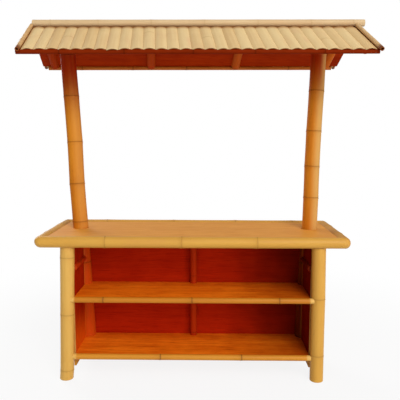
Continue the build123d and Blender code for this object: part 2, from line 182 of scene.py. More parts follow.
class Tree:
    """Node tree of a material or of the world, filled through one method."""

    def __init__(self, owner: bpy.types.Material | bpy.types.World) -> None:
        """Start with an empty tree.

        Args:
            owner: The new material or world.
        """
        owner.use_nodes = True
        self.owner = owner
        self.nodes, self.links = owner.node_tree.nodes, owner.node_tree.links
        self.nodes.clear()

    def add(self, kind: str, settings: dict | None = None, inputs: dict | None = None) -> bpy.types.Node:
        """Add a node, set it and feed its sockets.

        Args:
            kind: Blender's type name of the node.
            settings: Properties of the node, set first.
            inputs: Values, numbers or sockets by socket name or index.

        Returns:
            The new node.
        """
        node = self.nodes.new(kind)
        for key, value in (settings or {}).items():
            setattr(node, key, value)
        for key, value in (inputs or {}).items():
            value = value.socket if isinstance(value, Num) else value
            if isinstance(value, Socket):
                self.links.new(value, node.inputs[key])
            else:
                node.inputs[key].default_value = value
        return node

    def number(self, kind: str, settings: dict, inputs: dict, output: str | int = 0) -> Num:
        """Add a node and take one of its outputs as a number."""
        return Num(self, self.add(kind, settings, inputs).outputs[output])

    def attribute(self, name: str) -> Num:
        """Number stored on the mesh's points."""
        return self.number("ShaderNodeAttribute", {"attribute_name": name}, {}, "Fac")

    def place(self) -> Socket:
        """Coordinates on the piece in metres."""
        return self.add("ShaderNodeTexCoord").outputs["Object"]

    def normal(self) -> Socket:
        """Direction that the surface faces."""
        return self.add("ShaderNodeNewGeometry").outputs["Normal"]

    def split(self, vector: Socket) -> list[Num]:
        """The three components of a vector."""
        return [Num(self, output) for output in self.add("ShaderNodeSeparateXYZ", {}, {0: vector}).outputs]

    def noise(self, vector: Socket, scale: Sequence[float], detail: float) -> Num:
        """Soft noise from 0 to 1 over a stretched vector.

        Args:
            vector: Coordinates in metres.
            scale: Cells a metre along each axis.
            detail: Octaves.

        Returns:
            The noise value.
        """
        stretched = self.add("ShaderNodeVectorMath", {"operation": "MULTIPLY"}, {0: vector, 1: tuple(scale)})
        inputs = {"Vector": stretched.outputs[0], "Scale": 1.0, "Detail": detail}
        return self.number("ShaderNodeTexNoise", {}, inputs, "Fac")

    def mix(self, factor: Num, first: Shade, second: Shade) -> Socket:
        """Mix two colours.

        Args:
            factor: Share of the second colour.
            first: First colour, as a hex code or a socket.
            second: Second colour, likewise.

        Returns:
            The mixed colour.
        """
        first, second = (rgb(shade) if isinstance(shade, str) else shade for shade in (first, second))
        settings = {"data_type": "RGBA", "clamp_factor": True}
        return self.add("ShaderNodeMix", settings, {0: factor, 6: first, 7: second}).outputs[2]

    def surface(self, colour: Socket, roughness: Num, height: Num, relief: float, gloss: float) -> None:
        """Close the tree with a bumped Principled shader.

        Args:
            colour: Base colour.
            roughness: Roughness.
            height: Bump height, 0 to 1.
            relief: Depth of the bumps in metres.
            gloss: Specular level.
        """
        bump = self.add("ShaderNodeBump", {}, {"Strength": 1.0, "Distance": relief, "Height": height})
        inputs = {"Base Color": colour, "Roughness": roughness, "Normal": bump.outputs[0]}
        shader = self.add("ShaderNodeBsdfPrincipled", {}, inputs | {"Specular IOR Level": gloss})
        self.add("ShaderNodeOutputMaterial", {}, {"Surface": shader.outputs[0]})


@dataclass(frozen=True)
class BambooFinish:
    """Varnished bamboo: fibre streaks, mottling, dark node lines, cut ends, staining and painted shade."""

    name: str
    light: str
    deep: str
    node: str
    blush: str
    cut: str = "C99A58"
    stain: str = "8E1A00"
    roughness: float = 0.45
    gloss: float = 0.2
    tone_span: float = 0.5
    line_share: float = 0.6
    relief: float = 0.0006

    def weather(self, tree: Tree, colour: Shade, mottle: Num, stain_and_shade_share: Num) -> tuple[Shade, Shade, Num]:
        """Clean colour, the colour of its staining and painted shade, and how much of that shows."""
        return colour, self.stain, stain_and_shade_share

    def material(self) -> bpy.types.Material:
        """Build the finish from the culm's own grain, node, tone, stain and inside attributes.

        Returns:
            The material.
        """
        tree = Tree(bpy.data.materials.new(self.name))
        grain = tree.add("ShaderNodeAttribute", {"attribute_name": "grain"}).outputs["Vector"]
        fibre = tree.noise(grain, (420, 420, 5), 3)
        streak = tree.noise(grain, (70, 70, 1.6), 3)
        mottle = tree.noise(grain, (14, 14, 4.5), 4)
        speck = tree.noise(grain, (160, 160, 60), 2)
        marks = ("tone", "node_mark", "node_band", "inside", "stain")
        tone, mark, band, inside, stain_and_shade_share = (tree.attribute(name) for name in marks)
        depth = streak * 0.55 + mottle * 0.65 + fibre * 0.25 + tone * self.tone_span - 0.5
        colour = tree.mix(depth.step(0.1, 0.95), self.light, self.deep)
        colour = tree.mix(mottle.step(0.52, 0.75) * 0.4, colour, self.blush)
        colour, stain, stain_and_shade_share = self.weather(tree, colour, mottle, stain_and_shade_share)
        # Second colour over the marked stretches: painted shade and shadow on the posts, darker tips on the
        # barges, paler tips on the shelf poles.
        colour = tree.mix(stain_and_shade_share * (0.75 + streak * 0.4), colour, stain)
        colour = tree.mix(speck.step(0.66, 0.78) * 0.25, colour, self.node)
        colour = tree.mix(band * mottle * (0.5 * self.line_share), colour, self.node)
        colour = tree.mix(mark * self.line_share * (0.6 + speck * 0.8), colour, self.node)
        colour = tree.mix(inside, colour, self.cut)
        shine = self.roughness + (streak - 0.5) * 0.2 + inside * 0.3 + mark * 0.2
        tree.surface(colour, shine, fibre * 0.6 + streak * 0.4, self.relief, self.gloss)
        return tree.owner


@dataclass(frozen=True)
class PostFinish(BambooFinish):
    """Bamboo of the tall posts, with a painted highlight towards the light and painted shade under the roof;
    below the counter they take the inside's red staining, darkened by painted shadow on the right post.

    The heights lie round the counter, where the painted shade above ends and the inside colour begins. The
    inside of the bar ends between the values of inner_square, for x squared, and of inner_depth, for y.
    """

    painted_highlight: str = "CC9C58"
    left_inside: str = "CA480A"
    right_inside_shadow: str = "5A1400"
    counter_heights: tuple[float, float] = (0.9, 1.1)
    inner_square: tuple[float, float] = (0.475, 0.5)
    inner_depth: tuple[float, float] = (0.035, 0.055)

    def weather(self, tree: Tree, colour: Shade, mottle: Num, stain_and_shade_share: Num) -> tuple[Shade, Shade, Num]:
        """Paint a highlight on the lit side, and keep the painted shade to faces that look into the bar.

        Above the counter the painted shade thins with outward = side * normal x + normal y, which is
        largest on the faces turned away from the bar, and on the right post's lit side. Below, only the
        inside shows its red colour, which on the right post is painted shadow.

        Args:
            tree: The material's nodes.
            colour: The clean bamboo.
            mottle: Its mottling, 0 to 1.
            stain_and_shade_share: The stretches of staining and painted shade, 0 to 1.

        Returns:
            The colour with its painted highlight, the colour of the painted shade, and how much of it shows.
        """
        across, deep, height = tree.split(tree.place())
        facing = tree.split(tree.normal())
        right = across.step(-0.1, 0.1)
        outward = (right * 2 - 1) * facing[0] + facing[1]
        high = height.step(*self.counter_heights)
        indoors = (1 - (across * across).step(*self.inner_square)) * (1 - deep.step(*self.inner_depth))
        # Painted highlight: faces turned towards +x take the paler colour, most on the right post.
        highlight_share = facing[0].step(-0.5, 0.6) * (0.35 + right * 0.65) * (0.6 + mottle * 0.5)
        # Above the counter the painted shade; below it the inside colour, on the right post painted shadow.
        stain = tree.mix(high, tree.mix(right, self.left_inside, self.right_inside_shadow), self.stain)
        # Less painted shade on the right post's side that faces the light.
        lit = 1 - right * facing[0].step(0.05, 0.75) * 0.8
        # Painted shade shows on the inward faces above the counter, the inside colour on the inside below it.
        shown = high * lit * (1 - outward.step(0.4, 1.2) * 0.8) + indoors * (1 - high)
        return tree.mix(highlight_share, colour, self.painted_highlight), stain, stain_and_shade_share * shown


@dataclass(frozen=True)
class RafterFinish(BambooFinish):
    """Bamboo under the roof in its red staining, with a painted highlight towards the end that faces the
    light.
    """

    lit: str = "C4601A"

    def weather(self, tree: Tree, colour: Shade, mottle: Num, stain_and_shade_share: Num) -> tuple[Shade, Shade, Num]:
        """Paint light onto the clean bamboo, growing from the left end to the right."""
        across = tree.split(tree.place())[0]
        return tree.mix(across.step(-0.5, 0.8), colour, self.lit), self.stain, stain_and_shade_share


@dataclass(frozen=True)
class TileFinish(BambooFinish):
    """Dry split bamboo of the roof, with painted shade where the tile tops meet the ridge pole."""

    ridge_shade: str = "98602A"
    ridge_shade_heights: tuple[float, float] = (2.066, 2.09)

    def weather(self, tree: Tree, colour: Shade, mottle: Num, stain_and_shade_share: Num) -> tuple[Shade, Shade, Num]:
        """Paint shade onto the clean bamboo towards the ridge, where the ridge pole hangs over the tiles."""
        # Painted shade under the ridge pole.
        ridge_shade = tree.split(tree.place())[2].step(*self.ridge_shade_heights) * (0.5 + mottle * 0.6)
        return tree.mix(ridge_shade, colour, self.ridge_shade), self.stain, stain_and_shade_share


@dataclass(frozen=True)
class BoardFinish:
    """Stained board: long grain along one axis with darker growth lines and a worn mottle.

    Some boards have more shades: two of bare wood on the faces turned away from the bar's middle (outer),
    painted shadow towards the right end (right_shadow), painted light low at the left end (glow) and one
    under the lower shelf (bare).
    """

    name: str
    light: str
    deep: str
    line: str
    grain: tuple[float, float, float]
    roughness: float = 0.5
    gloss: float = 0.15
    outer: tuple[str, str] | None = None
    right_shadow: str | None = None
    glow: str | None = None
    bare: str | None = None
    lit_patch_heights: tuple[float, float] = (0.12, 0.42)
    bare_heights: tuple[float, float] = (0.105, 0.125)
    relief: float = 0.0007

    def material(self) -> bpy.types.Material:
        """Build the finish on the board's own coordinates.

        Returns:
            The material.
        """
        tree = Tree(bpy.data.materials.new(self.name))
        place = tree.place()
        wide = tree.noise(place, [4 * g for g in self.grain], 4)
        fine = tree.noise(place, [28 * g for g in self.grain], 4)
        hair = tree.noise(place, [110 * g for g in self.grain], 2)
        mottle = tree.noise(place, (7, 7, 7), 3)
        depth = wide * 0.6 + fine * 0.5 + mottle * 0.4 - 0.25
        colour = tree.mix(depth.step(0.2, 0.8), self.light, self.deep)
        colour = tree.mix(fine.step(0.55, 0.72) * 0.55, colour, self.line)
        colour = tree.mix(hair.step(0.5, 0.8) * 0.4, colour, self.line)
        across, _, height = tree.split(place)
        # Painted shadow over the right end inside the bar.
        if self.right_shadow:
            rightward = across + (mottle - 0.5) * 0.3
            colour = tree.mix(rightward.step(0.1, 0.8) * 0.7, colour, self.right_shadow)
        # Painted light: a lit patch low at the left end.
        if self.glow:
            lit_low_left = (1 - height.step(*self.lit_patch_heights)) * (1 - across.step(-0.3, 0.3))
            colour = tree.mix(lit_low_left * 0.8, colour, self.glow)
        if self.outer:
            away = tree.add("ShaderNodeVectorMath", {"operation": "SUBTRACT"}, {0: place, 1: BAR_MIDDLE})
            inputs = {0: tree.normal(), 1: away.outputs[0]}
            facing = tree.number("ShaderNodeVectorMath", {"operation": "DOT_PRODUCT"}, inputs, "Value")
            colour = tree.mix(facing.step(0.0, 0.05), colour, tree.mix(fine.step(0.35, 0.7), *self.outer))
        if self.bare:
            colour = tree.mix(1 - height.step(*self.bare_heights), colour, self.bare)
        shine = self.roughness + (fine - 0.5) * 0.25
        tree.surface(colour, shine, fine * 0.5 + hair * 0.5, self.relief, self.gloss)
        return tree.owner


Finish = BambooFinish | BoardFinish

# The tiles' dark cut colour, 7E4A1C, paints shade into their hollow undersides and ends.
TILE_FINISH = TileFinish(
    "dry_split_bamboo", "E2C590", "D3AF79", "8E5A24", "DCB288", cut="7E4A1C", roughness=0.6, gloss=0.1,
    line_share=0.2,
)
TRIM_FINISH = BambooFinish(
    "ridge_bamboo", "D8C096", "CBAA7E", "A07A48", "D6B284", gloss=0.12, line_share=0.2
)
# BARGE_FINISH makes the cut ends darker, and its second colour darkens the lower tips.
BARGE_FINISH = BambooFinish(
    "barge_bamboo", "D6B07C", "C49862", "7E5226", "CC9A6C", cut="8A4A1C", stain="6E3210", gloss=0.1,
    line_share=0.3,
)
# POST_FINISH's dark red second colour, 981E00, is painted shade on the posts' tops under the roof.
POST_FINISH = PostFinish(
    "amber_bamboo", "D68624", "BE6A12", "5E2E0A", "C66C1E", stain="981E00", gloss=0.04, line_share=0.45
)
LEG_FINISH = BambooFinish("golden_bamboo", "E0B45E", "D09D47", "7A4A14", "DAA052", line_share=0.3)
EDGE_FINISH = BambooFinish("honey_bamboo", "D29D43", "C08732", "7A4A14", "CE944A", line_share=0.35)
SHELF_POLE_FINISH = BambooFinish(
    "orange_bamboo", "D08A29", "BE741A", "5E2E0A", "C47828", stain="DCAE5A", line_share=0.7
)
# The front eave pole's dark red is painted shade under the tile ends; BACK_EAVE_FINISH is the same pole lit.
EAVE_SHADE_FINISH = BambooFinish(
    "eave_bamboo_painted_shade", "7C2404", "6A1A02", "3E1000", "6E1E02", cut="7A3410", roughness=0.6, gloss=0.02
)
BACK_EAVE_FINISH = BambooFinish("amber_eave_bamboo", "C4742C", "AA5A1C", "5E2E0A", "B4641E", gloss=0.08)
# SHADED_FINISH's lit colour, C4601A by default, is painted light towards the right end of the beam and
# rafters.
SHADED_FINISH = RafterFinish(
    "stained_bamboo", "AC3C04", "942A02", "5A2000", "A03404", cut="8A4414", gloss=0.02
)
INNER_FINISH = BambooFinish(
    "red_stained_bamboo", "BC3A0A", "A42604", "6A1400", "B03006", cut="A8421A", gloss=0.03, line_share=0.4
)
# DIM_FINISH is the rails' red bamboo darkened with painted shadow, for the right rail inside the bar.
DIM_FINISH = BambooFinish(
    "rail_bamboo_painted_shadow", "742006", "5E1402", "3E0C00", "681A04", cut="5A1C0A", gloss=0.03
)
SLAT_FINISH = BambooFinish("slat_bamboo", "DAA04A", "C28230", "6E3E10", "CC8C44", line_share=0.5)
COUNTER_FINISH = BoardFinish("counter_board", "E6A244", "DA9238", "C47C26", (0.35, 6, 6), gloss=0.1)
# The right_shadow colours below are painted shadow at the bar's right end inside; SIDE_FINISH's glow is
# painted light low at the left end.
SHELF_FINISH = BoardFinish(
    "shelf_board", "FF8C1A", "D45C04", "983A02", (0.35, 6, 6), gloss=0.05, right_shadow="8A2A02"
)
WALL_FINISH = BoardFinish(
    "wall_board", "BE2A07", "A41C03", "861002", (0.4, 5, 9), roughness=0.65, gloss=0.02,
    outer=("B07E40", "946428"), right_shadow="4A0800",
)
SIDE_FINISH = BoardFinish(
    "side_board", "B02A04", "981A00", "7A0E00", (9, 6, 0.5), roughness=0.6, gloss=0.02,
    outer=("C8964E", "A8763A"), right_shadow="4A0800", glow="E8620A", bare="C88E3A",
)
ROOF_BOARD_FINISH = BoardFinish(
    "roof_lining", "AA3404", "902402", "741600", (0.5, 6, 6), roughness=0.65, gloss=0.02,
    outer=("9E6634", "82501F"),
)


@dataclass
class Surface:
    """Points, faces and point attributes of one or more closed shells."""

    points: Array
    faces: list[Array]
    marks: dict[str, Array]

    @staticmethod
    def join(parts: Sequence["Surface"]) -> "Surface":
        """Put several shells into one surface.

        Args:
            parts: The shells.

        Returns:
            The joined surface.
        """
        offsets = np.cumsum([0] + [len(part.points) for part in parts[:-1]])
        faces = [block + offset for part, offset in zip(parts, offsets) for block in part.faces]
        marks = {key: np.concatenate([part.marks[key] for part in parts]) for key in parts[0].marks}
        return Surface(np.concatenate([part.points for part in parts]), faces, marks)

    def object(self, name: str) -> bpy.types.Object:
        """Make the mesh object.

        Args:
            name: The piece's name.

        Returns:
            The new object, at the origin.
        """
        mesh = bpy.data.meshes.new(name)
        mesh.from_pydata(self.points.tolist(), [], [face for block in self.faces for face in block.tolist()])
        for key, values in self.marks.items():
            kind, slot = ("FLOAT_VECTOR", "vector") if values.ndim == 2 else ("FLOAT", "value")
            stored = mesh.attributes.new(key, kind, "POINT")
            stored.data.foreach_set(slot, values.astype(np.float32).ravel())
        mesh.polygons.foreach_set("use_smooth", np.ones(len(mesh.polygons), dtype=bool))
        mesh.set_sharp_from_angle(angle=SHARP_ANGLE)
        mesh.update()
        piece = bpy.data.objects.new(name, mesh)
        bpy.context.collection.objects.link(piece)
        return piece


class Workshop:
    """Makes each material once, puts new pieces in place and dresses the nodes that stay."""

    @staticmethod
    @cache
    def material(finish: Finish) -> bpy.types.Material:
        """Material of a finish, made once."""
        return finish.material()

    @classmethod
    def put(cls, surface: Surface, name: str, finish: Finish, slot: Slot, node: str) -> None:
        """Make a piece and let it ride on the bar in place of its node.

        Args:
            surface: The piece's shape.
            name: Its name.
            finish: Its finish.
            slot: The record's slot of the finish; not used.
            node: The node that it stands for.
        """
        piece = surface.object(name)
        piece.data.materials.append(cls.material(finish))
        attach(piece, BODY)
        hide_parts(node)
        LOG.info("%s stands for %s with %d faces", name, node, len(piece.data.polygons))

    @classmethod
    def dress(cls, node: str, finish: Finish) -> None:
        """Give a node that stays its finish.

        Args:
            node: Name of the node.
            finish: Its finish.
        """
        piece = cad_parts[node]
        piece.data.materials.clear()
        piece.data.materials.append(cls.material(finish))
        LOG.info("%s keeps its shape and gets %s", node, finish.name)


def grid_faces(rows: int, columns: int) -> Array:
    """Quads of a grid of points, row after row, whose last column joins the first.

    Args:
        rows: Number of rows.
        columns: Points in a row.

    Returns:
        Quads as rows of four indices.
    """
    row = np.arange(rows - 1)[:, None] * columns
    column = np.arange(columns)[None, :]
    after = (column + 1) % columns
    quads = np.stack([row + column, row + after, row + columns + after, row + columns + column], axis=-1)
    return quads.reshape(-1, 4)


def no_trim(across: Array, up: Array) -> Array:
    """Square end: nothing is added along the culm."""
    return np.zeros_like(across)


def no_warp(points: Array) -> Array:
    """Straight culm: points stay where they are."""
    return points


@dataclass(frozen=True)
class Nodes:
    """Nodes of a culm: places along it in metres and the form of each ring.

    The radius is multiplied by 1 + swell * (0.55 g(10 mm) + 0.7 g(2.6 mm, below) - 0.75 g(2.4 mm, above)
    + 0.5 exp(-distance / 55 mm)), where g is a bell curve of that width about the node. Rows of points lie
    close about a node and at the butts, at the distances given here.
    """

    places: Array
    swell: float = 0.05
    node_rows: tuple[float, ...] = (0.0012, 0.0024, 0.0034, 0.0045, 0.006, 0.008, 0.012, 0.018, 0.026)
    butt_rows: tuple[float, ...] = (0.005, 0.010, 0.015, 0.020, 0.025, 0.036, 0.044, 0.052)
    end_gap: float = 0.002
    least_gap: float = 0.0004

    def _gap(self, along: Array) -> Array:
        """Distance from every place along the culm to every node, a column a node."""
        return along[:, None] - self.places[None, :]

    def rows(self, length: float, spacing: float) -> Array:
        """Places of the rings of points: even ones, and dense ones about each node and at both butts.

        Args:
            length: Length of the culm.
            spacing: Spacing of the even rows.

        Returns:
            Sorted places along the culm.
        """
        even = np.linspace(0, length, max(int(length / spacing), 2) + 1)
        after, butts = np.array(self.node_rows), np.array(self.butt_rows)
        close = self.places[:, None] + np.concatenate([-after, [0], after])
        dense = np.concatenate([close.ravel(), butts, length - butts])
        dense = dense[(dense > self.end_gap) & (dense < length - self.end_gap)]
        every = np.sort(np.concatenate([even, dense]))
        return every[np.concatenate([[True], np.diff(every) > self.least_gap])]

    def girth(self, along: Array) -> Array:
        """Factor on the radius, by the class's formula.

        Args:
            along: Places along the culm.

        Returns:
            The factor at each place.
        """
        gap = self._gap(along)
        ring = 0.55 * np.exp(-(gap / 0.010) ** 2) + 0.7 * np.exp(-((gap + 0.0035) / 0.0026) ** 2)
        ring -= 0.75 * np.exp(-((gap - 0.0012) / 0.0024) ** 2)
        return 1 + self.swell * (ring + 0.5 * np.exp(-np.abs(gap) / 0.055)).sum(axis=1)

    def mark(self, along: Array) -> Array:
        """Dark line in each node's groove, 0 to 1."""
        return np.exp(-((self._gap(along) - 0.001) / 0.0032) ** 2).max(axis=1, initial=0)

    def band(self, along: Array) -> Array:
        """Soft band about each node, 0 to 1."""
        return np.exp(-np.abs(self._gap(along)) / 0.02).max(axis=1, initial=0)


@dataclass(frozen=True)
class Culm:
    """A whole bamboo culm between two points.

    Point(t, angle) = start + t * axis + (bend(t) + r cos(angle)) * across + r sin(angle) * up, where r is the
    radius with taper, node rings and a slight oval, and bend runs straight from node to node. Trims lengthen
    or shorten each end point by point, and a warp moves the finished points. Each pair in stains is a
    smooth step from 0 at its first place along the culm to 1 at its second; on the posts they carry painted
    shade.
    """

    start: Point
    end: Point
    across: Point
    radius: float
    node_shares: Sequence[float]
    seed: int
    taper: float = 0.02
    swell: float = 0.05
    bends: Sequence[float] = ()
    hollow: bool = False
    around: int = 40
    spacing: float = 0.03
    bore_share: float = 0.7
    bore_depth: float = 1.9
    lip_share: float = 0.03
    inner_reach: float = 1.0
    level_foot: bool = False
    start_trim: Trim = no_trim
    end_trim: Trim = no_trim
    trim_zone: float = 0.08
    stains: Sequence[tuple[float, float]] = ()
    warp: Warp = no_warp

    def stain(self, along: Array) -> Array:
        """Depth of the second colour, painted shade on the posts, the largest of the smooth steps.

        Args:
            along: Places along the culm.

        Returns:
            The depth at each place, 0 to 1.
        """
        pairs = np.array(self.stains, float).reshape(-1, 2)
        rise = np.clip((along[:, None] - pairs[:, 0]) / (pairs[:, 1] - pairs[:, 0]), 0, 1)
        return (rise ** 2 * (3 - 2 * rise)).max(axis=1, initial=0)

    def profile(self, nodes: Nodes, length: float) -> tuple[Array, Array, Array]:
        """Rings from end to end: bore or cap, lip, wall with taper and node rings, lip, bore or cap.

        Args:
            nodes: The culm's nodes.
            length: Its length.

        Returns:
            Radius, place along the culm, and 1 for cut wood or 0 for the outside, of each ring.
        """
        body = nodes.rows(length, self.spacing)
        girth = self.radius * (1 + self.taper * (1 - 2 * body / length)) * nodes.girth(body)
        bore, depth = self.radius * self.bore_share, self.radius * self.bore_depth
        lip = self.radius * self.lip_share
        butt = [(bore / 2, depth), (bore, depth), (bore, 0.0)] if self.hollow else [(girth[0] / 2, 0.0)]
        width, reach = np.array(butt).T
        rings = len(butt)
        radii = np.concatenate([width, [girth[0] - lip], girth, [girth[-1] - lip], width[::-1]])
        along = np.concatenate([reach, [0.0], body, [length], length - reach[::-1]])
        along[rings + 1] = lip
        along[-rings - 2] = length - lip
        inside = np.ones(len(along))
        inside[rings + 1:-rings - 1] = 0.0
        return radii, along, inside

    def section(self, radii: Array, phase: Array) -> tuple[Array, Array]:
        """Points of each ring: a circle times 1 + 0.012 cos(2 angle + phase) + 0.006 cos(3 angle + phase).

        Args:
            radii: Radius of each ring.
            phase: Phases of the two waves.

        Returns:
            Distances across and up from the axis; those on the inner side are stretched by inner_reach.
        """
        angle = np.linspace(0, 2 * math.pi, self.around, endpoint=False)
        oval = 1 + 0.012 * np.cos(2 * angle + phase[0]) + 0.006 * np.cos(3 * angle + phase[1])
        wide = radii[:, None] * oval * np.cos(angle) * np.where(np.cos(angle) < 0, self.inner_reach, 1)
        return wide, radii[:, None] * oval * np.sin(angle)

    def surface(self) -> Surface:
        """Work out the culm's shell by the class's formula.

        Returns:
            The closed surface with its attributes.
        """
        draw = np.random.default_rng(self.seed)
        begin, across = np.array(self.start, float), np.array(self.across, float)
        span = np.array(self.end, float) - begin
        length = float(np.linalg.norm(span))
        axis = span / length
        up = np.cross(axis, across)
        nodes = Nodes(length * np.array(self.node_shares, float), self.swell)
        radii, along, inside = self.profile(nodes, length)
        wide, high = self.section(radii, draw.uniform(0, 2 * math.pi, 2))
        knots = np.concatenate([[0], nodes.places, [length]])
        bends = self.bends or np.zeros(len(nodes.places))
        bend = np.interp(along, knots, np.concatenate([[0], bends, [0]]))[:, None]
        near, far = (np.clip(1 - gap / self.trim_zone, 0, 1)[:, None] for gap in (along, length - along))
        level = -(wide * across[2] + high * up[2]) / axis[2] if self.level_foot else 0.0
        foot, head = level + self.start_trim(wide, high), self.end_trim(wide, high)
        reach = along[:, None] + near * foot + far * head
        points = begin + reach[..., None] * axis + (wide + bend)[..., None] * across
        points = self.warp(points + high[..., None] * up)
        # The grain's draws come after two more for each knot.
        draw.bit_generator.advance(2 * len(knots))
        place = np.broadcast_to(along[:, None], wide.shape)
        grain = np.stack([wide, high, place], axis=-1) + draw.uniform(0, 9, 3)
        count = wide.size
        ring = np.arange(self.around)
        after = np.roll(ring, -1)
        top = count - self.around
        caps = [
            np.stack([np.full_like(ring, count), after, ring], axis=1),
            np.stack([np.full_like(ring, count + 1), top + ring, top + after], axis=1),
        ]

        def spread(values: Array, edge: float) -> Array:
            """One value a row, given to each point of the row, and the edge's value at both end points."""
            return np.concatenate([np.repeat(values, self.around), [edge, edge]])

        marks = {
            "grain": np.concatenate([grain.reshape(-1, 3), grain[[0, -1]].mean(axis=1)]),
            "node_mark": spread(nodes.mark(along) * (1 - inside), 0),
            "node_band": spread(nodes.band(along) * (1 - inside), 0),
            "inside": spread(inside, 1),
            "stain": spread(self.stain(along), 0),
            "tone": np.full(count + 2, draw.uniform()),
        }
        closed = np.concatenate([points.reshape(-1, 3), points[[0, -1]].mean(axis=1)])
        return Surface(closed, [grid_faces(len(along), self.around), *caps], marks)


@dataclass(frozen=True)
class SplitCulm:
    """A culm split lengthwise, resting on its two cut edges.

    The section is an arc of the given width and rise with a second arc inside it, or a flat chord where the
    wall is zero. It is closed at the edges and carried straight along; node rings lift the outer arc.
    """

    start: Point
    along: Point
    off: Point
    length: float
    width: float
    rise: float
    node_shares: Sequence[float]
    seed: int
    wall: float = 0.005
    swell: float = 0.04
    arc: int = 15
    spacing: float = 0.06

    def section(self, nodes: Nodes, along: Array, phase: float) -> tuple[Array, Array]:
        """Points of every row: an arc of radius (width^2 / 4 + rise^2) / (2 rise), lifted most in its middle.

        Args:
            nodes: The culm's nodes.
            along: Places of the rows.
            phase: Phase of the slight waves of the arc.

        Returns:
            Distances across and off the seat, first those of the outer arc, then the inner one's backwards.
        """
        radius = (self.width ** 2 / 4 + self.rise ** 2) / (2 * self.rise)
        centre = self.rise - radius
        half = math.acos(-centre / radius)
        angle = np.linspace(-half, half, self.arc)
        girth = nodes.girth(along)[:, None] * (1 + 0.004 * np.cos(5 * angle + phase))
        lift = (girth - 1) * radius * np.clip(np.cos(angle * math.pi / (2 * half)), 0, 1)
        outer_wide, outer_high = radius * np.sin(angle), centre + radius * np.cos(angle)
        inner_wide, inner_high = outer_wide, np.zeros(self.arc)
        if self.wall > 0:
            bore = radius - self.wall
            turn = np.linspace(-1, 1, self.arc) * math.acos(-centre / bore)
            inner_wide, inner_high = bore * np.sin(turn), centre + bore * np.cos(turn)
        outer = (outer_wide + lift * np.sin(angle), outer_high + lift * np.cos(angle))
        inner = (np.broadcast_to(arc[::-1], lift.shape) for arc in (inner_wide, inner_high))
        wide, high = (np.concatenate(pair, axis=1) for pair in zip(outer, inner))
        return wide, high

    def surface(self) -> Surface:
        """Carry the section along the split culm.

        Returns:
            The closed surface with its attributes.
        """
        draw = np.random.default_rng(self.seed)
        axis, off = np.array(self.along, float), np.array(self.off, float)
        across = np.cross(off, axis)
        nodes = Nodes(self.length * np.array(self.node_shares, float), self.swell)
        along = nodes.rows(self.length, self.spacing)
        wide, high = self.section(nodes, along, draw.uniform(0, 6))
        reach = np.broadcast_to(along[:, None], wide.shape)
        points = np.array(self.start, float) + reach[..., None] * axis + wide[..., None] * across
        points = points + high[..., None] * off
        loop = 2 * self.arc
        step = np.arange(self.arc - 1)
        cap = np.stack([step, step + 1, loop - 2 - step, loop - 1 - step], axis=1)
        last = (len(along) - 1) * loop
        grain = np.stack([wide, high, reach], axis=-1).reshape(-1, 3) + draw.uniform(0, 9, 3)
        outer = np.tile(np.repeat([1.0, 0.0], self.arc), len(along))
        spread = {"node_mark": nodes.mark(along), "node_band": nodes.band(along)}
        marks = {key: np.repeat(values, loop) * outer for key, values in spread.items()}
        marks |= {"grain": grain, "inside": 1 - outer, "tone": np.full(len(outer), draw.uniform())}
        sides = grid_faces(len(along), loop)[:, ::-1]
        return Surface(points.reshape(-1, 3), [sides, cap, last + cap[:, ::-1]], marks)


